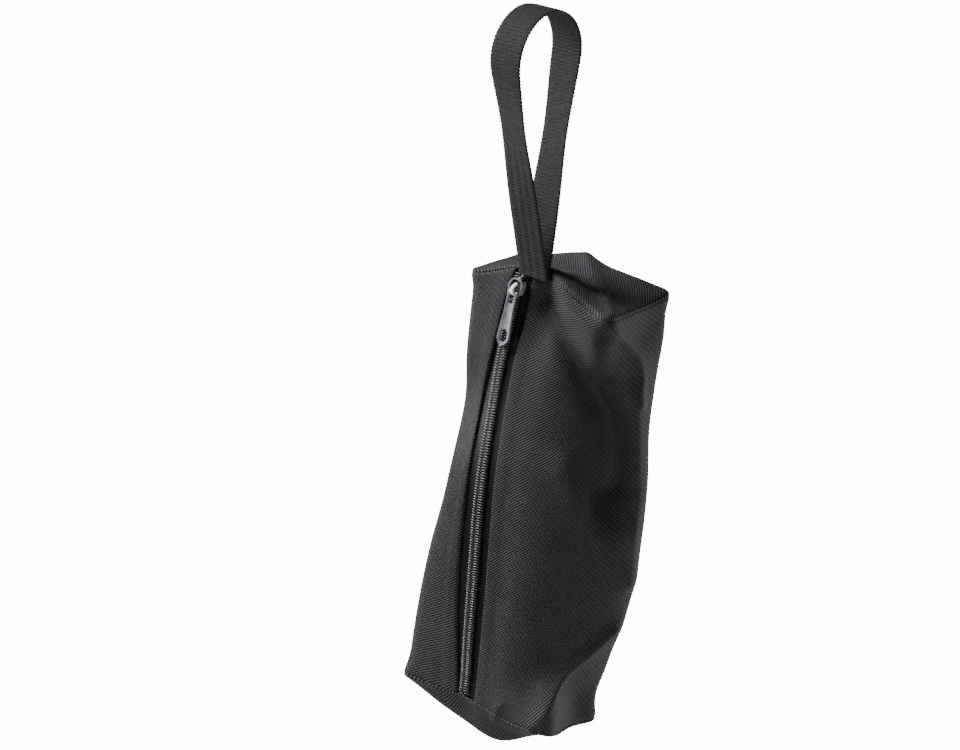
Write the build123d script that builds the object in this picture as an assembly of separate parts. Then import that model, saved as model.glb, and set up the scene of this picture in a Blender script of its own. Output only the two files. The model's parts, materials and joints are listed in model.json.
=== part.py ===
"""Zipped pouch with a webbing hand loop, modelled hanging from the loop.

The bag is drawn upright in its own bag frame: X across the zip face and 0 at
the loop's middle, the zip face at Y = 0 with the back at +Y, and the top end
panel at Z = 0. It is then hung from the loop, so that its weight lies under
the place where the loop is sewn in. The origin is the inside of the loop's
top, where a finger holds it. All sizes are in millimetres.
"""
import math
import os

from build123d import *

os.makedirs("parts", exist_ok=True)

# ---------------------------------------------------------------- bag shell
bag_width = 95.0           # across the zip face
bag_depth = 48.0           # zip face to back
bag_length = 254.0         # end panel to end panel
bag_shift = 3.5            # bag's middle to the right of the loop's
cloth_thick = 0.8          # coated polyester, with its seam bulk
edge_radius = 8.0          # soft lengthways corners of the wrap-round cloth
window_half = 8.5          # zip centre line to each folded hem
cut_past = 1.0             # how far a cutting shape runs past what it cuts

# ---------------------------------------------------------------- end seams
allowance_depth = 8.0      # how far each end panel's edge turns into the bag
allowance_gap = 0.1        # between the turned edge and the zip tapes
notch_depth = 8.0          # how far back the turned edge is cut clear of the zip
binding_thick = 0.5        # tape that covers the raw edges inside
binding_width = 5.0
thread_thick = 0.3         # sewing thread, drawn as a plain strip
thread_width = 0.5

# ---------------------------------------------------------------- zip, size 5
zip_shift = -10.5          # zip's centre line to the left of the loop's middle
tape_width = 16.0          # of each half, from the centre line
tape_thick = 0.6
coil_width = 3.2           # centre line to the outer side of one coil
coil_height = 2.4
coil_slit_half = 0.8       # half the gap that the slider's post runs in
coil_cord_radius = 0.45    # filler cord inside each coil
coil_cord_gap = 0.05
coil_wall = 0.4            # coil left between its cord and the tape
hem_stitch_inset = 1.2     # topstitch row, from the folded hem

# ---------------------------------------------------------------- slider
slider_length = 12.0
slider_half_width = 4.5
slider_corner = 1.5        # radius of the front wing's corners
slider_top_gap = 1.5       # end panel to the slider's upper end at rest
wing_thick = 1.0
running_gap = 0.3          # slider to coil and tape
post_half_width = 0.5
post_length = 4.0
bridge_half_width = 1.1
bridge_top = 3.2           # bridge ends, from the slider's middle
bridge_bottom = 3.6
bridge_leg = 1.0
bridge_bar = 1.2
pivot_gap = 0.25           # puller's cross bar to the wing, bar and lower leg

# ---------------------------------------------------------------- puller
puller_thick = 1.4
puller_length = 31.0       # pivot to the pointed tip
puller_top_width = 5.8
puller_low_width = 7.6
puller_low_at = 25.0       # pivot to the widest place, the finger hole's centre
eye_half_width = 1.45
eye_length = 5.7           # pivot to the eye's far end
hole_width = 5.0
hole_length = 7.5

# ---------------------------------------------------------------- hand loop
webbing_width = 20.0
webbing_thick = 1.5
loop_radius = 23.5         # inside radius of the loop's top
loop_height = 143.0        # sewn end to the inside of the top
fold_height = 2.0          # end panel to the line that the loop folds about
sewn_end_half_width = 5.5  # the loop's ends, trimmed where the seam holds them
sewn_end_depth = 2.2       # how far they reach in past the end panel

# ---------------------------------------------------------------- hang
hang_tilt = 9.4            # degrees that the bag's foot swings forward
hang_roll = 1.0            # degrees that the bag's foot swings to the left


def hung(shape):
    """Moves a shape from the bag frame to its hanging place."""
    turned = Rot(Y=hang_roll) * Rot(X=-hang_tilt) * Pos(0, 0, -fold_height) * shape
    return Pos(0, 0, -loop_height) * turned


def block(x, y, z):
    """A box from three (low, high) pairs, in the bag frame."""
    size = [high - low for low, high in (x, y, z)]
    middle = [(high + low) / 2 for low, high in (x, y, z)]
    return Pos(*middle) * Box(*size)


def column(inset, low, high):
    """The bag's rounded outline, drawn in by inset, from z low to z high."""
    outline = RectangleRounded(
        bag_width - 2 * inset, bag_depth - 2 * inset, edge_radius - inset
    )
    return Pos(bag_shift, bag_depth / 2, low) * extrude(outline, high - low)


def ring(inset, thick, low, high):
    """A closed band that follows the bag's outline inside."""
    return column(inset, low, high) - column(inset + thick, low - cut_past, high + cut_past)


def save(shape, name, place=hung):
    """Writes one node's solids where they hang."""
    export_step(place(shape), f"parts/{name}.step")


# ================================================================ bag shell
def body_cloth():
    """One wrap-round piece, open at both ends and along the zip."""
    low, high = -bag_length + cloth_thick, -cloth_thick
    hems = (zip_shift - window_half, zip_shift + window_half)
    window = block(
        hems, (-cut_past, cloth_thick + cut_past), (low - cut_past, high + cut_past)
    )
    return ring(0, cloth_thick, low, high) - window


allowance_inset = cloth_thick + tape_thick + allowance_gap
allowance_back = allowance_inset + cloth_thick
zip_notch = block(
    (zip_shift - window_half, sewn_end_half_width + allowance_gap),
    (cloth_thick, notch_depth),
    (-bag_length + cloth_thick, -cloth_thick),
)


def end_panel():
    """A flat end with its sewn edge turned in, clear of the zip."""
    plate = column(0, -cloth_thick, 0)
    edge = ring(allowance_inset, cloth_thick, -cloth_thick - allowance_depth, -cloth_thick)
    return plate + (edge - zip_notch)


def end_binding():
    """Tape that covers the raw edge inside one end."""
    high = -cloth_thick - allowance_depth + binding_width
    return ring(allowance_back, binding_thick, high - binding_width, high) - zip_notch


def end_stitching():
    """The seam's thread, inside the turned edge of one end."""
    high = -cloth_thick - thread_width
    return ring(allowance_back, thread_thick, high - thread_width, high) - zip_notch


def at_bottom(shape):
    """Turns a top end piece over to the bag's other end."""
    return mirror(shape, about=Plane((0, 0, -bag_length / 2)))


for name, piece in (
    ("end_panel", end_panel()),
    ("seam_binding", end_binding()),
    ("seam_stitching", end_stitching()),
):
    save(piece, f"top_{name}")
    save(at_bottom(piece), f"bottom_{name}")
save(body_cloth(), "body_cloth")

# ================================================================ zip
zip_low, zip_high = -bag_length + cloth_thick, -cloth_thick
tape_face = cloth_thick
tape_back = tape_face + tape_thick
coil_face = tape_face - coil_height
coil_middle = (coil_slit_half + coil_width) / 2
coil_axis_y = tape_face - coil_wall - coil_cord_gap - coil_cord_radius


def round_bar(radius, x, y, low, high):
    """An upright round bar."""
    return Pos(x, y, (low + high) / 2) * Cylinder(radius, high - low)


def zip_tape():
    """Woven tape behind the right-hand hem."""
    return block((coil_slit_half, tape_width), (tape_face, tape_back), (zip_low, zip_high))


def zip_coil():
    """The right-hand coil as a plain bar, bored for its filler cord."""
    bar = block((coil_slit_half, coil_width), (coil_face, tape_face), (zip_low, zip_high))
    bore = round_bar(
        coil_cord_radius + coil_cord_gap,
        coil_middle,
        coil_axis_y,
        zip_low - cut_past,
        zip_high + cut_past,
    )
    return bar - bore


def coil_cord():
    """Filler cord inside the right-hand coil."""
    return round_bar(coil_cord_radius, coil_middle, coil_axis_y, zip_low, zip_high)


def coil_stitching():
    """Thread beside the right-hand coil, which ties it to the tape."""
    inner = slider_half_width + running_gap
    return block(
        (inner, inner + thread_width), (tape_face - thread_thick, tape_face), (zip_low, zip_high)
    )


def hem_stitching():
    """Topstitch along the right-hand folded hem."""
    inner = window_half + hem_stitch_inset
    return block((inner, inner + thread_width), (-thread_thick, 0), (zip_low, zip_high))


def beside_zip(shape):
    """Moves a zip piece, drawn on X = 0, to the zip's centre line."""
    return Pos(zip_shift, 0, 0) * shape


for name, piece in (
    ("zip_tape", zip_tape()),
    ("zip_coil", zip_coil()),
    ("coil_cord", coil_cord()),
    ("coil_stitching", coil_stitching()),
    ("hem_stitching", hem_stitching()),
):
    save(beside_zip(piece), f"right_{name}")
    save(beside_zip(mirror(piece, about=Plane.YZ)), f"left_{name}")

# ================================================================ slider
slider_middle = -(slider_top_gap + slider_length / 2)
wing_inner = coil_face - running_gap
wing_outer = wing_inner - wing_thick
pin_radius = puller_thick / 2
pivot_y = wing_outer - pivot_gap - pin_radius
bar_inner = pivot_y - pin_radius - pivot_gap
pivot_z = slider_middle - bridge_bottom + bridge_leg + pivot_gap + pin_radius


def slider_body():
    """Cast slider: front wing with its flanges, post, back wing and bridge."""
    along = (slider_middle - slider_length / 2, slider_middle + slider_length / 2)
    across = (-slider_half_width, slider_half_width)
    front = block(across, (wing_outer, tape_face - running_gap), along)
    channel_half = coil_width + running_gap
    channel = block(
        (-channel_half, channel_half),
        (wing_inner, tape_back),
        (along[0] - cut_past, along[1] + cut_past),
    )
    back = block(across, (tape_back + running_gap, tape_back + running_gap + wing_thick), along)
    post = block(
        (-post_half_width, post_half_width),
        (wing_inner - wing_thick / 2, tape_back + running_gap + wing_thick / 2),
        (along[1] - post_length, along[1]),
    )
    arch = block(
        (-bridge_half_width, bridge_half_width),
        (bar_inner - bridge_bar, wing_outer + wing_thick / 2),
        (slider_middle - bridge_bottom, slider_middle + bridge_top),
    )
    opening = block(
        (-slider_half_width, slider_half_width),
        (bar_inner, wing_outer),
        (slider_middle - bridge_bottom + bridge_leg, slider_middle + bridge_top - bridge_leg),
    )
    corners = front.edges().filter_by(Axis.Y)
    front = fillet(corners, slider_corner)
    return (front - channel) + back + post + (arch - opening)


def zip_puller():
    """Flat puller on its cross bar, with a bridge eye and a finger hole."""
    top, low = puller_top_width / 2, puller_low_width / 2
    outline = Polygon(
        (-top, 0),
        (top, 0),
        (low, -puller_low_at),
        (0, -puller_length),
        (-low, -puller_low_at),
        align=None,
    )
    eye = Pos(0, -eye_length / 2) * Rectangle(2 * eye_half_width, eye_length)
    finger = Pos(0, -puller_low_at) * Rot(Z=90) * SlotOverall(hole_length, hole_width)
    flat = extrude(Plane.XZ * (outline - eye - finger), puller_thick / 2, both=True)
    bar = Rot(Y=90) * Cylinder(pin_radius, puller_top_width)
    return Pos(0, pivot_y, pivot_z) * (flat + bar)


save(beside_zip(slider_body()), "slider_body")
save(beside_zip(zip_puller()), "zip_puller")


# ================================================================ hand loop
def teardrop(radius, apex_to_centre):
    """A round with two straight tangents that meet at the point below it."""
    half = math.asin(radius / apex_to_centre)
    side = radius * math.cos(half)
    height = radius * math.sin(half)
    tip = Polygon((-side, height), (side, height), (0, apex_to_centre), align=None)
    return Circle(radius) + mirror(tip, about=Plane.XZ)


def handle_webbing():
    """One length of webbing, doubled into a teardrop with its ends together."""
    outer_radius = loop_radius + webbing_thick
    centre_to_apex = loop_height - loop_radius
    half = math.asin(outer_radius / centre_to_apex)
    inner_apex = loop_radius / math.sin(half)
    neck_length = centre_to_apex - inner_apex
    neck = Pos(0, -centre_to_apex + neck_length / 2) * Rectangle(2 * webbing_thick, neck_length)
    outline = teardrop(outer_radius, centre_to_apex) + neck - teardrop(loop_radius, inner_apex)
    return Pos(0, 0, -loop_radius) * extrude(Plane.YZ * outline, webbing_width / 2, both=True)


def sewn_ends():
    """The webbing's two ends, one on the other, held inside the front seam."""
    return block(
        (-sewn_end_half_width, sewn_end_half_width),
        (allowance_inset, allowance_inset + 2 * webbing_thick),
        (-cloth_thick - sewn_end_depth, -cloth_thick),
    )


def tack_stitching():
    """Back-tacked rows of thread across the sewn ends."""
    face = allowance_inset + 2 * webbing_thick
    half = sewn_end_half_width - thread_width
    rows = [
        block((-half, half), (face, face + thread_thick), (row - thread_width, row))
        for row in (-cloth_thick - thread_width, -cloth_thick - 3 * thread_width)
    ]
    return Compound(children=rows)


save(handle_webbing(), "handle_webbing", place=lambda shape: shape)
save(sewn_ends(), "handle_sewn_ends")
save(tack_stitching(), "handle_tack_stitching")
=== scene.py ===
"""Zipped travel pouch on a webbing hand loop, shown hanging from the loop.

The soft pieces are drawn in bag millimetres: x across the zip face, y in from that
face, z up from the top end. One rule then settles them all into the shape the bag
takes as it hangs, and carries them to the frame, which is in metres.
"""
import json
import math

import bpy
import numpy as np
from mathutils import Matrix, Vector


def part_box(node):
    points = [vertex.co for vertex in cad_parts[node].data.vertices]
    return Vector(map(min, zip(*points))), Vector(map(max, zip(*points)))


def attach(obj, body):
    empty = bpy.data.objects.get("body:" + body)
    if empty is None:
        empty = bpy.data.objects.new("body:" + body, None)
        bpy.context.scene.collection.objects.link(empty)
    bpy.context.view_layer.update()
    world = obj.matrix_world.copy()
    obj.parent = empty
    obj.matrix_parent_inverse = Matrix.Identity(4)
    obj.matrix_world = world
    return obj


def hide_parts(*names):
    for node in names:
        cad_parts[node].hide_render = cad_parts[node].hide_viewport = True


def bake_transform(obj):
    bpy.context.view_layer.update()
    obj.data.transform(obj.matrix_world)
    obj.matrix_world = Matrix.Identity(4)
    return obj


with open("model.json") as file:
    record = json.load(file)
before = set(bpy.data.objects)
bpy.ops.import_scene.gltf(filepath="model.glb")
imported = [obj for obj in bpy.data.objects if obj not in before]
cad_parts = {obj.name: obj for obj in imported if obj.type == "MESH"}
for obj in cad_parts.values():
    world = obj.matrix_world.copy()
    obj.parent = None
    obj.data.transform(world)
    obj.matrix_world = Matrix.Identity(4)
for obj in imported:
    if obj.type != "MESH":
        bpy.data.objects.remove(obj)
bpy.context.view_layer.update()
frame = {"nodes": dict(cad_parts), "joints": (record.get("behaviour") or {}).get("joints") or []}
bpy.ops.object.select_all(action="DESELECT")


# ---------------------------------------------------------------- how the bag hangs
# The bag folds about the foot of its loop and leans as its weight asks. The zip runs
# straight down it, so the zip's and the puller's own axes give the lean.
MM = 0.001
joints = {joint["name"]: joint for joint in frame["joints"]}
fold_point = np.array(joints["handle_fold"]["pos_m"])
fold_height = 2.0 * MM
up = -np.array(joints["zip_slide"]["axis"])
across = -np.array(joints["puller_flip"]["axis"])
inward = np.cross(up, across)
bag_to_frame = np.array([across, inward, up])


def hang(points):
    """Bag millimetres to the frame's metres, for stiff pieces."""
    points = np.asarray(points, float) * MM
    return fold_point + (points - (0, 0, fold_height)) @ bag_to_frame


def unhang(points):
    """The frame's metres to bag millimetres."""
    points = (np.asarray(points, float) - fold_point) @ bag_to_frame.T
    return (points + (0, 0, fold_height)) / MM


def node_box(node):
    """Lowest and highest corner of a CAD node in bag millimetres."""
    corners = unhang([vertex.co for vertex in frame["nodes"][node].data.vertices])
    return corners.min(axis=0), corners.max(axis=0)


bag_low, bag_high = node_box("body_cloth")
left, right = bag_low[0], bag_high[0]
depth = bag_high[1]
foot = node_box("bottom_end_panel")[0][2]
zip_low, zip_high = node_box("left_zip_tape")[0], node_box("right_zip_tape")[1]
zip_x = (zip_low[0] + zip_high[0]) / 2
middle = np.array([(left + right) / 2, depth / 2])
edge_radius = 8.0


def ease(value, start, end):
    """0 before start, 1 after end, and smooth between."""
    share = np.clip((value - start) / (end - start), 0, 1)
    return share * share * (3 - 2 * share)


def along_height(z, levels, amounts):
    """Amounts chosen at a few levels, joined smoothly."""
    order = np.argsort(levels)
    levels, amounts = np.array(levels, float)[order], np.array(amounts, float)[order]
    slopes = np.gradient(amounts, levels)
    place = np.clip(np.searchsorted(levels, z) - 1, 0, len(levels) - 2)
    span = levels[place + 1] - levels[place]
    t = np.clip((z - levels[place]) / span, 0, 1)
    start = (2 * t**3 - 3 * t**2 + 1) * amounts[place] + (t**3 - 2 * t**2 + t) * span * slopes[place]
    end = (3 * t**2 - 2 * t**3) * amounts[place + 1] + (t**3 - t**2) * span * slopes[place + 1]
    return start + end


# Broad moves: middle, reach and move in bag millimetres. The loop draws the top seam
# up, the corners drop, the empty sides fall in and the foot swells where it settles.
broad_moves = [
    ((0, 0, 0), (28, 20, 80), (0, 0, 12)),
    ((-9, 48, 0), (22, 22, 60), (0, 2, 8)),
    ((24, 48, 0), (20, 20, 60), (0, 1, 5)),
    ((50, 48, 0), (26, 20, 60), (-1, 0, 5)),
    ((38, 0, 0), (9, 16, 20), (0, 0, -1)),
    ((50, 3, 0), (10, 13, 14), (1, -1, -4)),
    ((34, 30, 0), (20, 14, 14), (0, 0, -3)),
    ((left, 0, 0), (14, 14, 12), (0, 0, -3)),
    ((zip_x, 0, foot), (12, 14, 26), (0, 1, 4)),
    ((48, 2, foot), (20, 20, 34), (0, 0, 6)),
    ((-4, 13, foot), (42, 10, 12), (0, -5, -18.5)),
    ((8, 0, -27), (12, 14, 18), (1, 4, 0)),
    ((-26, 0, foot), (14, 8, 12), (0, 0, 2)),
    ((10, 0, foot), (16, 8, 14), (0, 0, 5)),
    ((5, 36, foot), (40, 14, 12), (0, 0, -5)),
    ((52, 22, -118), (14, 12, 14), (-5, 2.5, 0)),
    ((51, 32, -14), (18, 12, 15), (-2, 0, 0)),
    ((51, 28, -238), (16, 18, 16), (-7, 1, 0)),
    ((left, 0, -86), (26, 22, 24), (-9, 15, 0)),
    ((-44, 26, -110), (16, 18, 60), (8, 0, 0)),
    ((0, 48, -150), (44, 16, 70), (0, 7, 0)),
    ((-20, 48, -60), (20, 16, 30), (6, -7, 0)),
    ((-30, 0, -170), (20, 16, 60), (0, -4, 0)),
]

# Sharper folds: the line each follows, how far its slopes reach, its move, and whether
# its top is a crease or a soft roll.
folds = [
    ([(45, 1, -2), (51, 8, -9), (51, 26, -28), (51, 31, -40), (51, 33, -58)], 4, (3, -1.8, 0), True),
    ([(51, 33, -58), (51, 35, -78), (51, 37, -110), (51, 38, -164)], 6, (2, -2, 0), True),
    ([(52, 38, -193), (52, 27, -204), (52, 16, -215), (51, 5, -229), (46, 1, -241), (38, 0, -251)],
     5, (4, -3, 0), True),
    ([(-2, 44, 0), (23, 27, 0), (48, 5, 0)], 8, (0, 0, 5), True),
    ([(20, 0, -2), (39, 0, -11), (50, 4, -24), (51, 16, -36), (52, 23, -52)], 8, (2, -3, 0), False),
    ([(12, 0, -18), (24, 0, -26), (36, 0, -36), (48, 3, -48), (52, 15, -64), (52, 21, -84), (52, 22, -108)],
     9, (-5, 6, 0), False),
    ([(34, 0, -98), (44, 0, -108), (52, 8, -120), (52, 22, -136), (52, 38, -162)], 9, (3, -2, 0), False),
    ([(18, 0, -244), (14, 0, -254)], 3, (0, -1.5, 0), True),
]


def distance_to(line, points):
    """Each point's distance to a line of straight runs."""
    nearest = np.full(len(points), 1e9)
    for start, end in zip(np.array(line[:-1], float), np.array(line[1:], float)):
        run = end - start
        t = np.clip((points - start) @ run / (run @ run), 0, 1)
        nearest = np.minimum(nearest, np.linalg.norm(points - start - t[:, None] * run, axis=1))
    return nearest


# The edge beside the zip face has no stiffening, so it hangs as a broad soft round.
soft_corner = 38.0


def corner_radius(across_x, across_y):
    """How far out the flat outline's corner lies, seen from the soft corner's middle."""
    reach = np.maximum(np.hypot(across_x, across_y), 1e-6)
    most, least = np.maximum(across_x, across_y) / reach, np.minimum(across_x, across_y) / reach
    straight = soft_corner / np.maximum(most, 1e-6)
    arc_middle = soft_corner - edge_radius
    under = np.maximum(edge_radius**2 - (arc_middle * (most - least)) ** 2, 0)
    arc = arc_middle * (most + least) + np.sqrt(under)
    return np.where(least * straight > arc_middle, arc, straight)


crisp_corners = [(x, y, z) for x in (left, right) for y in (0, depth) for z in (0, foot)]


def settle(points):
    """Moves flat-pattern points, in bag millimetres, to where the hanging cloth lies."""
    points = np.asarray(points, float).reshape(-1, 3)
    x, y, z = points.T
    moved = points.copy()
    for corner in crisp_corners:
        weight = np.exp(-((np.linalg.norm(points - corner, axis=1) / 9) ** 2))
        away = np.sign([corner[0] - middle[0], corner[1] - middle[1], 0])
        moved += 2.0 * weight[:, None] * away
    across_x, across_y = x - right + soft_corner, soft_corner - y
    inside = (across_x > 0) & (across_y > 0)
    round_off = np.where(inside, ease(-z, 6, 60) * ease(z, foot + 6, foot + 40), 0)
    pull_in = round_off * (soft_corner / corner_radius(across_x, across_y) - 1)
    moved[:, 0] += pull_in * across_x
    moved[:, 1] -= pull_in * across_y
    near_top = np.exp(-((z / 70) ** 2))
    moved[:, 2] -= 4.5 * near_top
    flare = along_height(
        z, (0, -40, -75, -110, -140, -170, -200, -230, foot), (0.5, 1.5, 2.5, 2, 0, -4.5, -8, -10.5, -11)
    )
    moved[:, 0] += flare * ease(-x, 14, 42) * (1 - 0.5 * ease(y, 10, 44))
    swell = along_height(
        z, (0, -20, -45, -75, -110, -150, -180, -196, -212, -228, foot),
        (4, 6.5, 5.5, 5.5, 9, 10, 9, 6.5, 3.5, 2, -1),
    )
    swell = swell * ease(x, 8, 48) * ease(y, 6, 44)
    moved[:, 0] += 0.72 * swell
    moved[:, 1] += 0.66 * swell
    bow = along_height(z, (0, -14, -36, -100, -190, foot), (2.2, 0, -1.8, -4.6, -1.0, 0.8))
    bow = bow * np.exp(-(((x - zip_x) / 26) ** 2)) * (1 - ease(y, 6, 30))
    moved[:, 0] += bow
    moved[:, 1] += 0.5 * bow
    for centre, reach, move in broad_moves:
        weight = np.exp(-(((points - centre) / reach) ** 2).sum(axis=1))
        moved += weight[:, None] * move
    for line, reach, move, creased in folds:
        away = distance_to(line, points) / reach
        weight = np.exp(-away if creased else -(away**2))
        moved += weight[:, None] * move
    return moved


# ---------------------------------------------------------------- wrap-round body cloth
# One piece of coated polyester twill wraps the bag from hem to hem round the back. It
# is cut flat, folded under along the zip, and turned in at both ends for the seams.
def mesh_piece(name, vertices, faces, uv=None):
    """A new object from its own mesh, with a millimetre pattern map where one is given."""
    mesh = bpy.data.meshes.new(name)
    mesh.from_pydata([tuple(v) for v in vertices], [], faces)
    if uv is not None:
        layer = mesh.uv_layers.new(name="pattern")
        corners = np.zeros(len(mesh.loops), int)
        mesh.loops.foreach_get("vertex_index", corners)
        layer.data.foreach_set("uv", np.asarray(uv, float)[corners].ravel())
    mesh.shade_smooth()
    piece = bpy.data.objects.new(name, mesh)
    bpy.context.scene.collection.objects.link(piece)
    return piece


def grid_faces(rows, columns, wrap=False):
    """Quads over a grid of points, closed round its columns where it wraps."""
    faces = []
    for row in range(rows - 1):
        for column in range(columns if wrap else columns - 1):
            beside = (column + 1) % columns
            here, below = row * columns, (row + 1) * columns
            faces.append((here + column, here + beside, below + beside, below + column))
    return faces


def apply_modifier(piece, kind, **settings):
    """Adds one modifier to a piece and applies it."""
    modifier = piece.modifiers.new(kind.lower(), kind)
    for key, value in settings.items():
        setattr(modifier, key, value)
    bpy.context.view_layer.objects.active = piece
    bpy.ops.object.modifier_apply(modifier=modifier.name)


def linear(code):
    """An sRGB hex colour as linear red, green, blue and alpha."""
    parts = [int(code[i : i + 2], 16) / 255 for i in (1, 3, 5)]
    return [c / 12.92 if c <= 0.04045 else ((c + 0.055) / 1.055) ** 2.4 for c in parts] + [1]


def add_node(material, kind, inputs, **settings):
    """One node of a material, with its settings, and its inputs as values or links."""
    node = material.node_tree.nodes.new("ShaderNode" + kind)
    for key, value in settings.items():
        setattr(node, key, value)
    for key, value in inputs.items():
        if isinstance(value, bpy.types.NodeSocket):
            material.node_tree.links.new(value, node.inputs[key])
        else:
            node.inputs[key].default_value = value
    return node


def new_material(name):
    """An empty node material."""
    material = bpy.data.materials.new(name)
    material.use_nodes = True
    material.node_tree.nodes.clear()
    return material


def finish_material(material, colour, height, relief, **surface):
    """Ends a material with its shader, its bump and its output."""
    bump = add_node(material, "Bump", {"Height": height, "Distance": relief, "Strength": 1.0})
    inputs = {"Base Color": colour, "Normal": bump.outputs[0]}
    inputs.update({key.replace("_", " "): value for key, value in surface.items()})
    shader = add_node(material, "BsdfPrincipled", inputs)
    add_node(material, "OutputMaterial", {"Surface": shader.outputs[0]})
    return material


corner_steps = 10
outline_points = []
for corner_x, corner_y, first_angle in (
    (right - edge_radius, edge_radius, -90),
    (right - edge_radius, depth - edge_radius, 0),
    (left + edge_radius, depth - edge_radius, 90),
    (left + edge_radius, edge_radius, 180),
):
    for step in range(corner_steps + 1):
        turn = math.radians(first_angle + 90 * step / corner_steps)
        outward = np.array([math.cos(turn), math.sin(turn)])
        outline_points.append((*(np.array([corner_x, corner_y]) + edge_radius * outward), *outward))
outline_points = [(zip_x, 0, 0, -1), *outline_points, (zip_x, 0, 0, -1)]
outline_points = np.array(outline_points)
outline_lengths = np.concatenate(
    ([0], np.cumsum(np.linalg.norm(np.diff(outline_points[:, :2], axis=0), axis=1)))
)
girth = outline_lengths[-1]


def outline(around, inset=0.0):
    """The bag's flat outline, so many millimetres round from the zip to the right."""
    around = np.asarray(around, float) % girth
    x, y, nx, ny = (np.interp(around, outline_lengths, column) for column in outline_points.T)
    return np.stack([x - inset * nx, y - inset * ny], axis=-1)


def ringed(around, profile):
    """Rows of points round the outline, from (inset, height) pairs."""
    rows = []
    for inset, height in profile:
        flat = outline(around, inset)
        rows.append(np.column_stack([flat, np.full(len(flat), float(height))]))
    return np.concatenate(rows)


cloth_thick = 0.5
hem_inset = 8.5
hem_width = 6.0
cloth_step = 1.5

turned_end = [(3.2, 5.0), (2.6, 3.2), (1.6, 2.4), (0.8, 2.4), (0.25, 2.8), (0.03, 3.6)]
wall = np.arange(4.6, -foot - 4.6, cloth_step)
cloth_profile = [(inset, -drop) for inset, drop in turned_end]
cloth_profile += [(0, -drop) for drop in wall]
cloth_profile += [(inset, foot + drop) for inset, drop in reversed(turned_end)]
hem_back = np.linspace(hem_width, 0.6, 6)
hem_front = np.concatenate([np.linspace(0, 3, 8), np.arange(4.0, 10, 1.2)])
plain = np.arange(hem_inset + 10.5, girth - hem_inset - 10, cloth_step)
around_hem = np.concatenate([hem_inset + hem_back, [hem_inset + 0.15], hem_inset + hem_front[1:]])
hem_depth = np.concatenate([np.full(len(hem_back), 1.0), [0.5], np.zeros(len(hem_front) - 1)])
front_of_hem = slice(len(hem_back) + 1, None)
hem_depth[front_of_hem] -= 0.35 * np.exp(-(((around_hem[front_of_hem] - hem_inset - 3) / 3.2) ** 4))
around = np.concatenate([around_hem, plain, (girth - around_hem)[::-1]])
sunk = np.concatenate([hem_depth, np.zeros(len(plain)), hem_depth[::-1]])
flat_cloth = ringed(around, cloth_profile)
rows, columns = len(cloth_profile), len(around)
flat_cloth[:, 1] += np.tile(sunk, rows)
drop_along = np.repeat([-height for inset, height in cloth_profile], columns)
cloth_map = np.column_stack([np.tile(around, rows), drop_along])
hem_gap_reach = 9


def left_hem_gap(z):
    """How far the left hem stands off its place beside the zip at a height."""
    return along_height(z, (0, -30, -70, -140, -200, foot), (-4.5, -2.5, 0, 1.5, 0, -4))


near_left_hem = np.tile(np.exp(-(((girth - hem_inset - around) / hem_gap_reach) ** 2)), rows)
flat_cloth[:, 0] -= left_hem_gap(flat_cloth[:, 2]) * near_left_hem
body_cloth = mesh_piece(
    "wrap_cloth", hang(settle(flat_cloth)), grid_faces(rows, columns), cloth_map
)
apply_modifier(body_cloth, "SOLIDIFY", thickness=cloth_thick * MM, offset=-1, use_even_offset=False)

# Polyester twill with a coated back: fine ribs that climb to the right, each one dull black yarn. Its colour
# is painted lighter on the rib crowns as a painted highlight and darker between the ribs as painted shade,
# with random fibre and wear tone on top.
twill_spacing = 1.15
twill_float = 2.2
wave_per_mm = math.tau / 20


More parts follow.
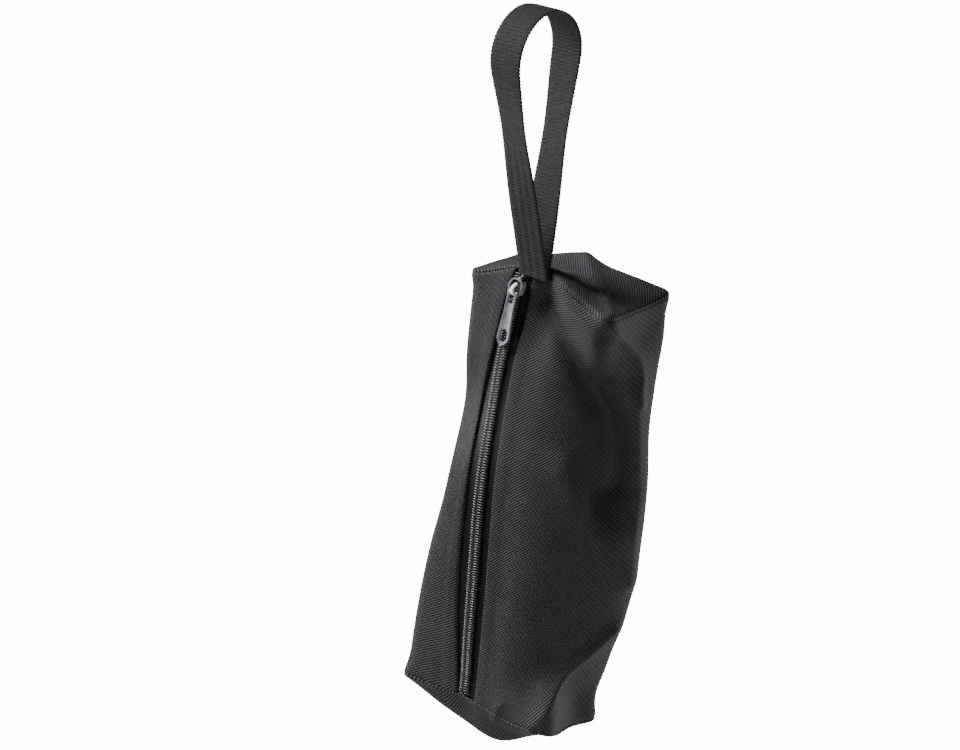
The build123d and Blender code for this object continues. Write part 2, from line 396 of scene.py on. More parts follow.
def twill_material(name, turn, shadow, crown):
    """Black twill, its ribs turned so many degrees on the pattern map, with painted shade between the ribs
    and a painted highlight on their crowns.
    """
    material = new_material(name)
    place = add_node(material, "UVMap", {}, uv_map="pattern")
    turned = add_node(
        material, "Mapping", {"Vector": place.outputs[0], "Rotation": (0, 0, math.radians(turn))}
    )
    ribs = add_node(
        material,
        "TexWave",
        {"Vector": turned.outputs[0], "Scale": wave_per_mm / twill_spacing, "Distortion": 0.3,
         "Detail": 1.0, "Detail Scale": 3.0},
        bands_direction="X",
    )
    floats = add_node(
        material,
        "TexWave",
        {"Vector": turned.outputs[0], "Scale": wave_per_mm / twill_float, "Distortion": 2.0,
         "Detail": 1.0},
        bands_direction="Y",
    )
    fibre = add_node(material, "TexNoise", {"Vector": place.outputs[0], "Scale": 1.6, "Detail": 4.0})
    wear = add_node(material, "TexNoise", {"Vector": place.outputs[0], "Scale": 0.035, "Detail": 3.0})
    broken = add_node(
        material, "Math", {0: floats.outputs["Fac"], 1: 0.35, 2: 0.65}, operation="MULTIPLY_ADD"
    )
    # Rib crowns: the bump's height, and also the mask of the painted highlight on the crowns.
    crowned = add_node(material, "Math", {0: ribs.outputs["Fac"], 1: broken.outputs[0]}, operation="MULTIPLY")
    fuzz = add_node(
        material, "Math", {0: fibre.outputs["Fac"], 1: 0.4, 2: 0.8}, operation="MULTIPLY_ADD"
    )
    shade = add_node(
        material, "Math", {0: crowned.outputs[0], 1: fuzz.outputs[0]}, operation="MULTIPLY"
    )
    aged = add_node(
        material, "Math", {0: wear.outputs["Fac"], 1: 0.5, 2: 0.75}, operation="MULTIPLY_ADD"
    )
    highlight_fibre_and_wear = add_node(material, "Math", {0: shade.outputs[0], 1: aged.outputs[0]}, operation="MULTIPLY")
    spread = add_node(
        material, "MapRange", {"Value": highlight_fibre_and_wear.outputs[0], "From Min": 0.1, "From Max": 0.85}
    )
    # The shadow colour is painted shade in the rib valleys and the crown colour is a painted highlight on the
    # rib crowns; fibre and wear noise vary it at random.
    colour = add_node(
        material,
        "Mix",
        {0: spread.outputs[0], 6: linear(shadow), 7: linear(crown)},
        data_type="RGBA",
    )
    return finish_material(
        material, colour.outputs[2], crowned.outputs[0], 0.14 * MM,
        Roughness=0.72, Sheen_Weight=0.03, Sheen_Roughness=0.35, Specular_IOR_Level=0.12,
    )


# Near-black valleys as painted shade, grey rib crowns as a painted highlight.
body_twill = twill_material("polyester twill", -45, "#060606", "#444246")
body_cloth.data.materials.append(body_twill)
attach(body_cloth, "bag")
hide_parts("body_cloth")


# ---------------------------------------------------------------- end panels and their seams
# Two oblong pieces of the same twill close the ends. Each is sewn inside out, so its
# edge puffs over the seam before it dives in beside the body cloth.
panel_edge = [
    (2.6, 3.4), (1.7, 2.5), (0.9, 1.9), (0.35, 1.3), (0.2, 0.5), (0.45, -0.4), (1.1, -1.0), (2.2, -1.3),
]
seam_line = -2.4
panel_step = 1.5
panel_around = np.arange(0, girth, 1.4)


def end_panel(name, seat, sign):
    """One end panel from its seam allowance to the middle; sign turns it end for end."""
    edge = ringed(panel_around, [(inset, -drop) for inset, drop in panel_edge])
    puff = 0.45 + 0.55 * np.exp(-(((panel_around - 34) / 18) ** 2))
    edge[:, 2] = seam_line + (edge[:, 2] - seam_line) * np.tile(puff, len(panel_edge))
    edge[:, 2] = seat + sign * edge[:, 2]
    rim = edge[-len(panel_around) :]
    shrink = np.linspace(1, 0.02, int(depth / 2 / panel_step))[1:]
    rings = [edge]
    for share in shrink:
        inner = rim.copy()
        inner[:, :2] = middle + (rim[:, :2] - middle) * [0.55 * share + 0.45 * share**0.6, share]
        rings.append(inner)
    flat = np.concatenate(rings)
    ring_count = len(panel_edge) + len(shrink)
    count = len(panel_around)
    faces = grid_faces(ring_count, count, wrap=True)
    faces.append([(ring_count - 1) * count + i for i in range(count)])
    if sign > 0:
        faces = [tuple(reversed(face)) for face in faces]
    panel = mesh_piece(name, hang(settle(flat)), faces, flat[:, :2])
    apply_modifier(panel, "SOLIDIFY", thickness=cloth_thick * MM, offset=-1)
    panel.data.materials.append(end_twill)
    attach(panel, "bag")
    return panel


# The same painted shade in the valleys and painted highlight on the rib crowns.
end_twill = twill_material("polyester twill, cut across", -45, "#060606", "#444246")
top_panel = end_panel("top_panel", 0.0, 1)
bottom_panel = end_panel("bottom_panel", foot, -1)
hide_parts("top_end_panel")
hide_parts("bottom_end_panel")


# ---------------------------------------------------------------- zip tapes
# Two woven polyester tapes lie behind the hems, one to each half of the zip. They are
# plain and close, with a fine herringbone and a soft grey face.
tape_face, tape_thick = 0.8, 0.6
tape_inner, tape_outer = 0.8, 15.5


def tape_material():
    """Close-woven black tape: fine crosswise picks over lengthwise ends."""
    material = new_material("woven zip tape")
    place = add_node(material, "UVMap", {}, uv_map="pattern")
    ends = add_node(
        material, "TexWave", {"Vector": place.outputs[0], "Scale": wave_per_mm / 0.8, "Distortion": 0.4},
        bands_direction="X",
    )
    picks = add_node(
        material, "TexWave", {"Vector": place.outputs[0], "Scale": wave_per_mm / 0.9, "Distortion": 0.4},
        bands_direction="Y",
    )
    fibre = add_node(material, "TexNoise", {"Vector": place.outputs[0], "Scale": 1.2, "Detail": 4.0})
    weave = add_node(
        material, "Math", {0: ends.outputs["Fac"], 1: picks.outputs["Fac"]}, operation="MULTIPLY"
    )
    tone = add_node(
        material, "Math", {0: weave.outputs[0], 1: fibre.outputs["Fac"]}, operation="MULTIPLY"
    )
    colour = add_node(
        material, "Mix", {0: tone.outputs[0], 6: linear("#0a0a0a"), 7: linear("#201f21")},
        data_type="RGBA",
    )
    return finish_material(
        material, colour.outputs[2], weave.outputs[0], 0.06 * MM,
        Roughness=0.6, Sheen_Weight=0.05, Sheen_Roughness=0.4, Specular_IOR_Level=0.25,
    )


tape_weave = tape_material()


def strip(name, low_x, high_x, front, back, low_z, high_z, step=2.0):
    """A closed flat strip of cloth down the bag, in bag millimetres."""
    heights = np.arange(high_z, low_z, -step)
    heights = np.append(heights, low_z)
    ring = [(low_x, front), (high_x, front), (high_x, back), (low_x, back)]
    if high_x - low_x > 2 * step:
        inner = np.arange(low_x + step, high_x - step / 2, step)
        ring = [(low_x, front), *[(x, front) for x in inner], (high_x, front)]
        ring += [(high_x, back), *[(x, back) for x in inner[::-1]], (low_x, back)]
    points = np.array([(x, y, z) for z in heights for x, y in ring])
    faces = grid_faces(len(heights), len(ring), wrap=True)
    faces.append(list(range(len(ring)))[::-1])
    faces.append([(len(heights) - 1) * len(ring) + i for i in range(len(ring))])
    faces = [tuple(reversed(face)) for face in faces]
    return mesh_piece(name, hang(settle(dive(points))), faces, points[:, [0, 2]])


def dive(points):
    """Bends the zip's ends in under the end panels, where the seams hold them."""
    points = np.array(points, float)
    points[:, 1] += 2.6 * ease(points[:, 2], -6, -1) + 2.6 * ease(-points[:, 2], -foot - 5, -foot - 0.5)
    return points


for side, way in (("left", -1), ("right", 1)):
    edges = sorted((zip_x + way * tape_inner, zip_x + way * tape_outer))
    tape = strip(
        f"{side}_tape", *edges, tape_face, tape_face + tape_thick, foot + 1.5, -1.5
    )
    tape.data.materials.append(tape_weave)
    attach(tape, "bag")
    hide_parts(f"{side}_zip_tape")


# ---------------------------------------------------------------- zip coils
# Each half's teeth are one nylon thread wound flat round a filler cord, its turns
# headed towards the middle so that the two halves lock turn for turn.
coil_pitch = 1.5
coil_thread = 0.42
turn_steps = 12
coil_reach = (0.05, 3.1)
coil_depth = (-1.25, 0.45)


def coil_line(way):
    """The nylon thread of one half, from foot to top."""
    turns = int((-foot - 5) / coil_pitch)
    angle = np.arange(turns * turn_steps) * math.tau / turn_steps
    half = (coil_reach[1] - coil_reach[0]) / 2
    x = coil_reach[0] + half + half * np.cos(angle)
    lift = (coil_depth[0] + coil_depth[1]) / 2
    rise = (coil_depth[1] - coil_depth[0]) / 2
    head = np.clip(-np.cos(angle), 0, 1) ** 3
    y = lift - rise * np.sin(angle) * (1 - 0.25 * head)
    shift = 0 if way < 0 else 0.5
    z = foot + 2.5 + coil_pitch * (angle / math.tau + shift)
    z = z + 0.32 * np.cos(angle) * coil_pitch
    if way > 0:
        x = x + 3.6 * ease(z, -9, -2)
        y = y - 0.8 * ease(z, -9, -4)
    return settle(dive(np.column_stack([zip_x + way * x, y, z])))


def thread_tube(name, line, radius, sides):
    """A round thread along a line of bag-millimetre points, made a mesh."""
    curve = bpy.data.curves.new(name, "CURVE")
    curve.dimensions = "3D"
    curve.bevel_depth = radius * MM
    curve.bevel_resolution = sides
    curve.use_fill_caps = True
    spline = curve.splines.new("POLY")
    spline.points.add(len(line) - 1)
    placed = hang(line)
    spline.points.foreach_set("co", np.column_stack([placed, np.ones(len(placed))]).ravel())
    piece = bpy.data.objects.new(name, curve)
    bpy.context.scene.collection.objects.link(piece)
    bpy.context.view_layer.objects.active = piece
    piece.select_set(True)
    bpy.ops.object.convert(target="MESH")
    piece = bpy.context.object
    piece.select_set(False)
    piece.data.shade_smooth()
    return piece


def coil_material():
    """Nylon monofilament, drawn smooth: black, half gloss, a little uneven from wear."""
    material = new_material("nylon coil")
    place = add_node(material, "TexCoord", {})
    worn = add_node(material, "TexNoise", {"Vector": place.outputs["Object"], "Scale": 900.0, "Detail": 3.0})
    colour = add_node(
        material, "Mix", {0: worn.outputs["Fac"], 6: linear("#1c1c1e"), 7: linear("#4c4c50")},
        data_type="RGBA",
    )
    return finish_material(
        material, colour.outputs[2], worn.outputs["Fac"], 0.02 * MM, Roughness=0.3, IOR=1.53,
    )


nylon = coil_material()
for side, way in (("left", -1), ("right", 1)):
    coil = thread_tube(f"{side}_coil", coil_line(way), coil_thread, 1)
    coil.data.materials.append(nylon)
    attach(coil, "bag")
    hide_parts(f"{side}_zip_coil", f"{side}_coil_cord")


# ---------------------------------------------------------------- thread: coils, hems and seams
# Spun polyester thread ties each coil to its tape, topstitches each hem and closes the
# end seams. Every stitch is a short rounded float that dips in at both ends.
def stitch_mesh(length, thick):
    """One float of thread along z, with rounded ends, in millimetres."""
    bpy.ops.mesh.primitive_uv_sphere_add(segments=6, ring_count=6, radius=0.5)
    stitch = bpy.context.object
    stretch = length - thick
    for vertex in stitch.data.vertices:
        side = 1 if vertex.co.z > 0.01 else -1 if vertex.co.z < -0.01 else 0
        vertex.co = vertex.co * thick + Vector((0, 0, side * stretch / 2))
    points = np.array([vertex.co for vertex in stitch.data.vertices])
    faces = [tuple(face.vertices) for face in stitch.data.polygons]
    bpy.data.objects.remove(stitch)
    return points, faces


def stitch_row(name, starts, ends, outward, thick):
    """Stitches from each start to each end, in settled bag millimetres."""
    vertices, faces = [], []
    for start, end, out in zip(starts, ends, outward):
        run = end - start
        length = np.linalg.norm(run)
        points, quads = stitch_mesh_cache(round(length, 1), thick)
        z_way = run / length
        y_way = out - (out @ z_way) * z_way
        y_way = y_way / np.linalg.norm(y_way)
        x_way = np.cross(y_way, z_way)
        bowed = points.copy()
        bowed[:, 1] -= 0.35 * thick * (2 * bowed[:, 2] / length) ** 2
        placed = (start + end) / 2 + bowed @ np.array([x_way, y_way, z_way])
        faces += [tuple(len(vertices) + i for i in quad) for quad in quads]
        vertices += list(placed)
    row = mesh_piece(name, hang(vertices), faces)
    row.data.materials.append(spun_thread)
    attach(row, "bag")
    return row


made_stitches = {}


def stitch_mesh_cache(length, thick):
    """The float of that size, modelled once."""
    if (length, thick) not in made_stitches:
        made_stitches[length, thick] = stitch_mesh(length, thick)
    return made_stitches[length, thick]


def thread_material():
    """Spun polyester: dull black, a twisted yarn with stray fibres that look grey."""
    material = new_material("spun polyester thread")
    place = add_node(material, "TexCoord", {})
    ply = add_node(
        material, "TexWave", {"Vector": place.outputs["Object"], "Scale": 160.0, "Distortion": 3.0},
        bands_direction="DIAGONAL",
    )
    colour = add_node(
        material, "Mix", {0: ply.outputs["Fac"], 6: linear("#0b0b0c"), 7: linear("#1e1e20")},
        data_type="RGBA",
    )
    return finish_material(
        material, colour.outputs[2], ply.outputs["Fac"], 0.05 * MM,
        Roughness=0.6, Sheen_Weight=0.08, Sheen_Roughness=0.4,
    )


spun_thread = thread_material()
stitch_pitch = 2.6
stitch_length = 2.0
hem_stitch_inset = 1.3
stitch_heights = np.arange(-6, foot + 6, -stitch_pitch)
for side, way in (("left", -1), ("right", 1)):
    for job, off, face, thick in (
        ("coil", 4.9, tape_face - 0.1, 0.34),
        ("hem", hem_inset + hem_stitch_inset, -0.28, 0.3),
    ):
        x = zip_x + way * off
        lines = []
        for shift in (0, -stitch_length):
            lines.append(np.array([(x, face, z + shift) for z in stitch_heights]))
        if job == "hem" and side == "left":
            for line in lines:
                line[:, 0] -= left_hem_gap(line[:, 2]) * math.exp(-((hem_stitch_inset / hem_gap_reach) ** 2))
        row = stitch_row(
            f"{side}_{job}_stitches", settle(lines[0]), settle(lines[1]),
            [np.array([0.0, -1.0, 0.0])] * len(stitch_heights), thick,
        )
        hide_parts(f"{side}_{job}_stitching")


# ---------------------------------------------------------------- seam tape and seam thread inside
# Inside each end the raw edges are bound with folded tape and closed with one row of
# thread. Neither shows from outside, but both are there when the zip is open.
binding_around = np.arange(18, girth - 12, 3.0)
for end, seat, sign in (("top", 0.0, 1), ("bottom", foot, -1)):
    profile = [(3.6, 4.2), (3.6, 9.0), (4.1, 9.0), (4.1, 4.2)]
    flat = ringed(binding_around, [(inset, seat - sign * drop) for inset, drop in [*profile, profile[0]]])
    count = len(binding_around)
    faces = grid_faces(4, count)
    faces += [(3 * count + i, 3 * count + i + 1, i + 1, i) for i in range(count - 1)]
    faces += [(0, count, 2 * count, 3 * count), tuple(k * count + count - 1 for k in (3, 2, 1, 0))]
    flat = flat[: 4 * count]
    binding = mesh_piece(f"{end}_binding", hang(settle(flat)), faces, flat[:, :2])
    binding.data.materials.append(tape_weave)
    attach(binding, "bag")
    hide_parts(f"{end}_seam_binding")
    places = np.arange(20, girth - 14, stitch_pitch)
    starts = ringed(places, [(4.3, seat - sign * 3.4)])
    ends = ringed(places + stitch_length, [(4.3, seat - sign * 3.4)])
    row = stitch_row(
        f"{end}_seam_stitches", settle(starts), settle(ends),
        [np.array([0.0, 0.0, float(-sign)])] * len(places), 0.34,
    )
    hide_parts(f"{end}_seam_stitching")


# ---------------------------------------------------------------- slider
# The slider is die-cast zinc with black enamel: a shield-shaped front with a raised
# rim, side flanges round the coils, a post, a back plate and a cast bridge.
slider_low, slider_high = node_box("slider_body")
slider_middle = (slider_low[2] + slider_high[2]) / 2
wing_front, wing_back = -2.9, -1.9
bridge_radius = 3.0
bridge_foot = slider_middle - 0.2


def shield(half_width, half_length, steps=48):
    """A zip slider's outline: round at the top, drawn in towards the foot."""
    points = []
    for step in range(steps):
        turn = math.tau * step / steps
        reach = (abs(math.cos(turn)) ** 3 + abs(math.sin(turn)) ** 3) ** (-1 / 3)
        z = half_length * reach * math.sin(turn)
        pinch = 1 - 0.26 * ease(-z / half_length, -0.1, 1)
        points.append((half_width * pinch * reach * math.cos(turn), z))
    return points


def enamel_material(name, shadow, crown):
    """Baked enamel over cast zinc: half gloss, a little paler where it has worn."""
    material = new_material(name)
    place = add_node(material, "TexCoord", {})
    grain = add_node(
        material, "TexNoise", {"Vector": place.outputs["Object"], "Scale": 1600.0, "Detail": 4.0}
    )
    worn = add_node(material, "TexNoise", {"Vector": place.outputs["Object"], "Scale": 260.0, "Detail": 4.0})
    spread = add_node(
        material, "MapRange", {"Value": worn.outputs["Fac"], "From Min": 0.4, "From Max": 0.7}
    )
    colour = add_node(
        material, "Mix", {0: spread.outputs[0], 6: linear(shadow), 7: linear(crown)},
        data_type="RGBA",
    )
    return finish_material(
        material, colour.outputs[2], grain.outputs["Fac"], 0.015 * MM, Metallic=0.35, Roughness=0.42,
    )


enamel = enamel_material("baked enamel on zinc", "#6a6a71", "#8f8e96")
# Near-black enamel for the sunk face of the slider's front: painted shade in the recess.
recess_shade_enamel = enamel_material("enamel painted dark as recess shade", "#101011", "#1c1c1e")


def raised_plate(name, points, front, back, rim, sink, dark_floor=False):
    """A plate from an outline, with its face sunk inside a rim, in bag millimetres; with dark_floor the sunk
    face gets the near-black second material as painted shade.
    """
    bpy.ops.mesh.primitive_circle_add(vertices=len(points), fill_type="NGON")
    plate = bpy.context.object
    plate.name = name
    for vertex, (x, z) in zip(plate.data.vertices, points):
        vertex.co = Vector((x, front, z)) * MM
    bpy.ops.object.mode_set(mode="EDIT")
    bpy.ops.mesh.select_all(action="SELECT")
    bpy.ops.mesh.extrude_region_move(TRANSFORM_OT_translate={"value": (0, (back - front) * MM, 0)})
    bpy.ops.mesh.select_all(action="SELECT")
    bpy.ops.mesh.normals_make_consistent(inside=False)
    bpy.ops.mesh.select_all(action="DESELECT")
    bpy.ops.object.mode_set(mode="OBJECT")
    for face in plate.data.polygons:
        face.select = face.normal.y < -0.9 and len(face.vertices) > 4
    bpy.ops.object.mode_set(mode="EDIT")
    bpy.ops.mesh.inset(thickness=rim * MM, depth=0)
    bpy.ops.mesh.inset(thickness=0.15 * MM, depth=-sink * MM)
    bpy.ops.object.mode_set(mode="OBJECT")
    plate.data.materials.append(enamel)
    plate.data.materials.append(recess_shade_enamel)
    # With dark_floor the sunk face takes the second, near-black material: painted shade in the recess.
    for face in plate.data.polygons:
        face.material_index = 1 if face.select and dark_floor else 0
    return plate


def cut(piece, cutter):
    """Takes one shape out of another."""
    apply_modifier(piece, "BOOLEAN", operation="DIFFERENCE", object=cutter, solver="EXACT")
    bpy.data.objects.remove(cutter)


def block(x, y, z):
    """A box from three (low, high) pairs in bag millimetres."""
    bpy.ops.mesh.primitive_cube_add(size=1)
    box = bpy.context.object
    for vertex in box.data.vertices:
        share = vertex.co + Vector((0.5, 0.5, 0.5))
        vertex.co = Vector([low + (high - low) * s for (low, high), s in zip((x, y, z), share)]) * MM
    return box


def seat_hard(piece, centre_x, lean):
    """Carries a hard piece, drawn on x = 0 in bag metres, to its place in the frame."""
    points = np.array([vertex.co for vertex in piece.data.vertices]) / MM
    points[:, 0] += centre_x + lean * (points[:, 2] - bridge_foot)
    piece.data.vertices.foreach_set("co", hang(points).ravel())
    piece.data.update()


# The front wing's sunk face is painted near black as shade in the recess.
front_wing = raised_plate(
    "slider", [(x, slider_middle + z) for x, z in shield(4.5, 6.0)], wing_front - 0.1, 0.45, 0.8, 0.7, True
)
cut(front_wing, block((-3.5, 3.5), (wing_back, 2), (slider_middle - 8, slider_middle + 8)))
apply_modifier(front_wing, "BEVEL", width=0.22 * MM, segments=2, limit_method="ANGLE")
back_wing = raised_plate(
    "slider_back", [(x, slider_middle + z) for x, z in shield(4.5, 6.0)], 1.75, 2.7, 0.5, 0.1
)
apply_modifier(back_wing, "BEVEL", width=0.2 * MM, segments=2, limit_method="ANGLE")
post = block((-0.5, 0.5), (wing_back - 0.2, 1.9), (slider_middle + 2.0, slider_middle + 6.0))
bpy.ops.mesh.primitive_plane_add(size=1)
bridge = bpy.context.object
for vertex in bridge.data.vertices:
    start = bridge_foot - bridge_radius - vertex.co.y
    vertex.co = Vector((1.9 * vertex.co.x, wing_front + 0.6, start)) * MM
bpy.ops.object.mode_set(mode="EDIT")
bpy.ops.mesh.select_all(action="SELECT")
bpy.ops.mesh.spin(
    steps=16, angle=math.pi, center=(0, (wing_front + 0.6) * MM, bridge_foot * MM), axis=(1, 0, 0)
)
bpy.ops.mesh.select_all(action="SELECT")
bpy.ops.mesh.remove_doubles(threshold=0.01 * MM)
bpy.ops.mesh.normals_make_consistent(inside=False)
bpy.ops.object.mode_set(mode="OBJECT")
apply_modifier(bridge, "BEVEL", width=0.3 * MM, segments=3, limit_method="ANGLE")
bpy.ops.object.select_all(action="DESELECT")
for piece in (back_wing, post, bridge, front_wing):
    piece.select_set(True)
bpy.context.view_layer.objects.active = front_wing
bpy.ops.object.join()
slider = bpy.context.object
bpy.ops.object.shade_smooth_by_angle(angle=math.radians(40))
slider.select_set(False)
zip_aside = 1.1
seat_hard(slider, zip_x + zip_aside, 0.16)


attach(slider, "slider")
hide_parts("slider_body")


# ---------------------------------------------------------------- puller
# A flat cast puller hangs from the slider's bridge on its own cross bar. It has a
# raised rim, a small eye for the bridge and an oval finger hole above a pointed tip.
puller_low, puller_high = node_box("zip_puller")
pivot_y = (puller_low[1] + puller_high[1]) / 2
pivot_z = puller_high[2] - 0.7
puller_thick = 1.4
puller_length = pivot_z - puller_low[2]
hole_drop = 25.0


def puller_outline():
    """Down one side of the puller and up the other, as (x, z)."""
    side = []
    for step in range(9):
        turn = math.radians(90 - 90 * step / 8)
        side.append((2.9 * math.cos(turn), 1.7 * math.sin(turn) - 0.9))
    side += [(2.9, -5.0), (3.0, -9.0), (3.2, -15.0), (3.5, -20.0), (3.75, -24.0), (3.8, -26.0)]
    for step in range(1, 9):
        share = step / 8
        side.append((3.8 * (1 - share**1.8) ** 0.75, -26.0 - (puller_length - 26.0) * share))
    return side + [(-x, z) for x, z in side[-2:0:-1]]


puller = raised_plate(
    "puller", [(x, pivot_z + z) for x, z in puller_outline()],
    pivot_y - puller_thick / 2, pivot_y + puller_thick / 2, 0.55, 0.3,
)
for drop, wide, tall in ((3.9, 3.6, 5.6), (hole_drop, 5.0, 7.5)):
    bpy.ops.mesh.primitive_cylinder_add(vertices=32, radius=0.5, depth=4 * MM, rotation=(math.pi / 2, 0, 0))
    cutter = bpy.context.object
    bpy.ops.object.transform_apply(location=False, rotation=True, scale=False)
    for vertex in cutter.data.vertices:
        stretch = (tall - wide) / 2 * (1 if vertex.co.z > 0.001 else -1 if vertex.co.z < -0.001 else 0)
        vertex.co = Vector((vertex.co.x * wide, vertex.co.y / MM + pivot_y,
                            vertex.co.z * wide + stretch + pivot_z - drop)) * MM
    cut(puller, cutter)
apply_modifier(puller, "BEVEL", width=0.14 * MM, segments=2, limit_method="ANGLE")
bpy.ops.mesh.primitive_cylinder_add(
    vertices=24, radius=0.7 * MM, depth=5.6 * MM, location=(0, pivot_y * MM, pivot_z * MM),
    rotation=(0, math.pi / 2, 0),
)
cross_bar = bpy.context.object
bpy.ops.object.transform_apply(location=True, rotation=True, scale=True)
apply_modifier(cross_bar, "BEVEL", width=0.2 * MM, segments=2, limit_method="ANGLE")
bpy.ops.object.select_all(action="DESELECT")
cross_bar.select_set(True)
puller.select_set(True)
bpy.context.view_layer.objects.active = puller
bpy.ops.object.join()
bpy.ops.object.shade_smooth_by_angle(angle=math.radians(40))
puller.select_set(False)
seat_hard(puller, zip_x + zip_aside, 0.095)
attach(puller, "puller")
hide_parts("zip_puller")


# ---------------------------------------------------------------- webbing loop
# One length of ribbed polypropylene webbing is doubled into a loop, and both ends are
# caught in the top seam. The ribs run across it and notch its woven edges.
_, loop_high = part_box("handle_webbing")
web_width, web_thick = 20.0, 1.5
rib_pitch = 1.9
loop_top = loop_high.z / MM
loop_foot = fold_point[2] / MM + 3.5
loop_radius = 23.5 + web_thick / 2
loop_centre = loop_top - web_thick / 2 - loop_radius + web_thick / 2


def loop_line(step):
    """The webbing's middle line, up the front and down the back, as (y, z) points."""
    drop = loop_centre - loop_foot
    lean = math.asin(loop_radius / math.hypot(drop, web_thick / 2))
    points = [(-web_thick / 2 - 0.1, loop_foot - 4), (-web_thick / 2 - 0.1, loop_foot)]
    for share in range(-int(math.degrees(lean)), 181 + int(math.degrees(lean)), 4):
        turn = math.radians(share)
        points.append((-loop_radius * math.cos(turn), loop_centre + loop_radius * math.sin(turn)))
    points += [(web_thick / 2 + 0.1, loop_foot), (web_thick / 2 + 0.1, loop_foot - 4)]
    points = np.array(points)
    lengths = np.concatenate(([0], np.cumsum(np.linalg.norm(np.diff(points, axis=0), axis=1))))
    places = np.arange(0, lengths[-1], step)
    return places, np.column_stack([np.interp(places, lengths, column) for column in points.T])


web_step = 0.48
web_places, web_line = loop_line(web_step)
for _ in range(12):
    web_line[8:-8] = (web_line[7:-9] + 2 * web_line[8:-8] + web_line[9:-7]) / 4
web_length = web_places[-1]
web_along = np.gradient(web_line, axis=0)
web_along /= np.linalg.norm(web_along, axis=1)[:, None]
web_normal = np.column_stack([-web_along[:, 1], web_along[:, 0]])
web_columns = 25
across_web = np.linspace(-1, 1, web_columns)
twist = 0.2 * np.exp(-(((web_places - 88) / 26) ** 2)) - 0.24 * np.exp(
    -(((web_places - web_length + 78) / 30) ** 2)
)
web_points = []
for face in (1, -1):
    cells = across_web if face > 0 else across_web[::-1]
    rib = 0.5 + 0.5 * np.cos(math.tau * web_places / rib_pitch)
    rib = rib * (1 - 0.85 * ease(-web_places, -92, -62))
    for share in cells:
        edge = 1 - 0.75 * abs(share) ** 12
        bump = 0.5 + 0.5 * math.cos(math.tau * share * web_width / 2 / 2.5)
        phase = rib if int((share + 1) * web_width / 5) % 2 == 0 else 1 - rib
        thick = (web_thick / 2 - 0.28) * edge + 0.28 * phase * (0.55 + 0.45 * bump)
        wide = share * (web_width / 2 - 0.25 + (0.35 * rib if abs(share) > 0.95 else 0))
        x = wide * np.cos(twist)
        off = face * thick + wide * np.sin(twist)
        web_points.append(np.column_stack([x, web_line + off[:, None] * web_normal]))
web_points = np.stack(web_points, axis=1).reshape(-1, 3)
web_rows, web_ring = len(web_places), 2 * web_columns
web_faces = grid_faces(web_rows, web_ring, wrap=True)
web_faces += [tuple(range(web_ring))[::-1], tuple((web_rows - 1) * web_ring + i for i in range(web_ring))]
web_map = np.column_stack([np.tile(np.concatenate([across_web, across_web[::-1]]) * 10, web_rows),
                           np.repeat(web_places, web_ring)])
webbing = mesh_piece("handle_loop", web_points * MM, web_faces, web_map)


def webbing_material():
    """Polypropylene webbing: matt black yarns, painted greyer on the crown of each rib as a painted
    highlight.
    """
    material = new_material("polypropylene webbing")
    place = add_node(material, "UVMap", {}, uv_map="pattern")
    ribs = add_node(
        material, "TexWave", {"Vector": place.outputs[0], "Scale": wave_per_mm / rib_pitch, "Distortion": 0.8,
                              "Detail": 1.0},
        bands_direction="Y",
    )
    yarns = add_node(
        material, "TexWave", {"Vector": place.outputs[0], "Scale": wave_per_mm / 0.6, "Distortion": 1.0},
        bands_direction="X",
    )
    fibre = add_node(material, "TexNoise", {"Vector": place.outputs[0], "Scale": 1.4, "Detail": 5.0})
    weave = add_node(
        material, "Math", {0: ribs.outputs["Fac"], 1: yarns.outputs["Fac"]}, operation="MULTIPLY"
    )
    tone = add_node(
        material, "Math", {0: weave.outputs[0], 1: fibre.outputs["Fac"]}, operation="MULTIPLY"
    )
    # Painted highlight: the colour runs from near black to grey as the rib and yarn crowns rise, with random
    # fibre tone.
    colour = add_node(
        material, "Mix", {0: tone.outputs[0], 6: linear("#080807"), 7: linear("#2f2f2c")},
        data_type="RGBA",
    )
    return finish_material(
        material, colour.outputs[2], weave.outputs[0], 0.22 * MM,
        Roughness=0.75, Sheen_Weight=0.04, Sheen_Roughness=0.5, Specular_IOR_Level=0.2,
    )


ribbed_web = webbing_material()
webbing.data.materials.append(ribbed_web)
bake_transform(webbing)
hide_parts("handle_webbing")


# ---------------------------------------------------------------- the loop's sewn ends
# Inside the top seam the webbing's two ends lie one on the other, back-tacked with two
# short rows of thread that take the bag's whole weight.
ends_low, ends_high = node_box("handle_sewn_ends")
sewn_ends = strip(
    "loop_ends", ends_low[0], ends_high[0], ends_low[1] + 2.6, ends_high[1] + 2.6,
    ends_low[2] - 3, ends_high[2] - 3, step=1.0,
)
sewn_ends.data.materials.append(ribbed_web)
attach(sewn_ends, "bag")
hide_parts("handle_sewn_ends")
tack_places = np.arange(ends_low[0] + 0.6, ends_high[0] - 2.4, stitch_pitch)
tack_rows = [(x, ends_high[1] + 3, z) for z in (-4.6, -5.6) for x in tack_places]
tack = stitch_row(
    "loop_tack_stitches", settle(tack_rows), settle(np.array(tack_rows) + (stitch_length, 0, 0)),
    [np.array([0.0, 1.0, 0.0])] * len(tack_rows), 0.34,
)
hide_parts("handle_tack_stitching")


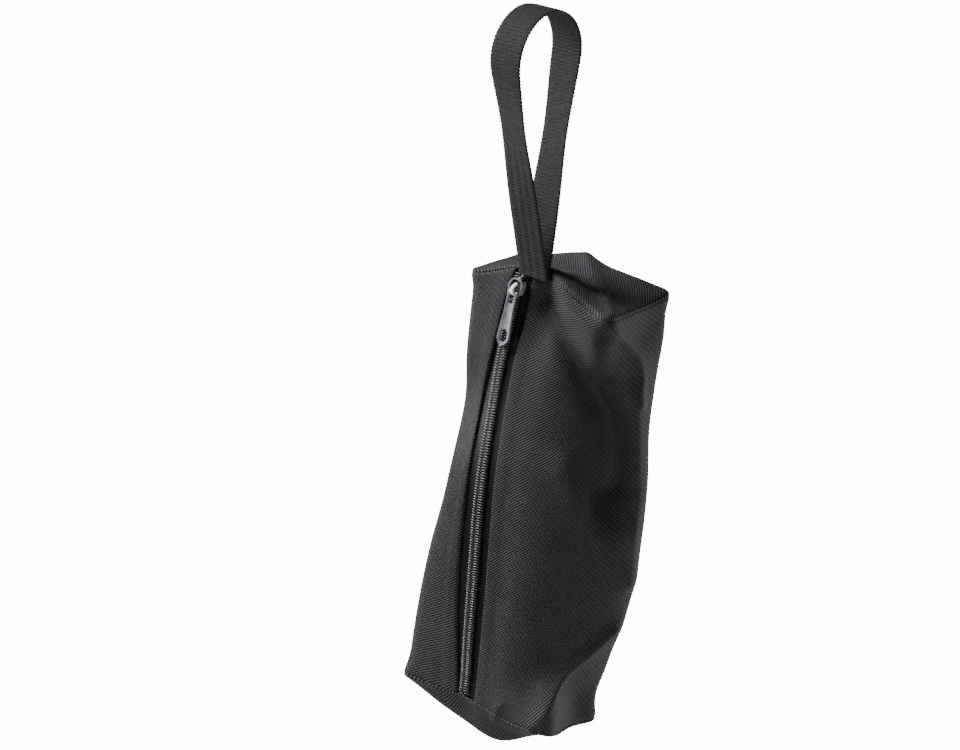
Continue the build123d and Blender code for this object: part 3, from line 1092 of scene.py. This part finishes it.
# ---------------------------------------------------------------- studio
# A pale floor well below the hanging bag, two tall side lights that rake the cloth's
# edges, a strong light high on the left, a weak bounce from the floor in front, and a
# long lens from the front right and a little above.
bpy.ops.mesh.primitive_plane_add(size=30, location=(0, 0, -1.6))
floor = bpy.context.object
floor.name = "studio_floor"
floor_paint = new_material("matt white floor")
floor_place = add_node(floor_paint, "TexCoord", {})
floor_grain = add_node(floor_paint, "TexNoise", {"Vector": floor_place.outputs["Object"], "Scale": 4.0})
floor_tone = add_node(
    floor_paint, "Mix", {0: floor_grain.outputs["Fac"], 6: (0.93, 0.93, 0.93, 1), 7: (0.95, 0.95, 0.95, 1)},
    data_type="RGBA",
)
floor_shader = add_node(
    floor_paint, "BsdfPrincipled", {"Base Color": floor_tone.outputs[2], "Roughness": 0.9}
)
floor_glow = add_node(floor_paint, "Emission", {"Color": (1, 1, 1, 1), "Strength": 14.0})
seen = add_node(floor_paint, "LightPath", {})
floor_mix = add_node(
    floor_paint, "MixShader",
    {0: seen.outputs["Is Camera Ray"], 1: floor_shader.outputs[0], 2: floor_glow.outputs[0]},
)
add_node(floor_paint, "OutputMaterial", {"Surface": floor_mix.outputs[0]})
floor.data.materials.append(floor_paint)

world = bpy.data.worlds.new("studio air")
world.use_nodes = True
world.node_tree.nodes["Background"].inputs[0].default_value = (1, 1, 1, 1)
world.node_tree.nodes["Background"].inputs[1].default_value = 0.02
bpy.context.scene.world = world

azimuth, elevation = math.radians(41.1), math.radians(26.0)
view_right = Vector((math.cos(azimuth), math.sin(azimuth), 0))
view_back = Vector(
    (math.sin(azimuth) * math.cos(elevation), -math.cos(azimuth) * math.cos(elevation), math.sin(elevation))
)
view_up = view_back.cross(view_right)
aim = view_right * -0.0283 + view_up * -0.1805
camera_data = bpy.data.cameras.new("camera")
camera_data.lens = 85
camera_data.sensor_width = 36
camera = bpy.data.objects.new("camera", camera_data)
camera_distance = 1.125
camera.location = aim + view_back * camera_distance
camera.rotation_mode = "QUATERNION"
camera.rotation_quaternion = (-view_back).to_track_quat("-Z", "Y")
bpy.context.scene.collection.objects.link(camera)
bpy.context.scene.camera = camera


def soft_light(name, offset, width, height, watts):
    """A soft box that faces the bag from so far right, up and back of the camera's line."""
    light_data = bpy.data.lights.new(name, "AREA")
    light_data.shape = "RECTANGLE"
    light_data.size = width
    light_data.size_y = height
    light_data.energy = watts
    light = bpy.data.objects.new(name, light_data)
    target = aim + Vector((0, 0, -0.06))
    right_m, up_m, back_m = offset
    light.location = target + view_right * right_m + Vector((0, 0, up_m)) + view_back * back_m
    light.rotation_mode = "QUATERNION"
    light.rotation_quaternion = (light.location - target).to_track_quat("Z", "Y")
    bpy.context.scene.collection.objects.link(light)


soft_light("left soft box", (-1.2, 0.2, -0.7), 0.4, 1.2, 15.5)
soft_light("right soft box", (1.15, -0.1, -0.65), 0.4, 1.2, 15)
soft_light("top soft box", (-0.9, 1.05, -0.3), 0.6, 0.6, 56)
soft_light("floor bounce", (0.5, -0.9, 0.9), 0.8, 0.8, 9)
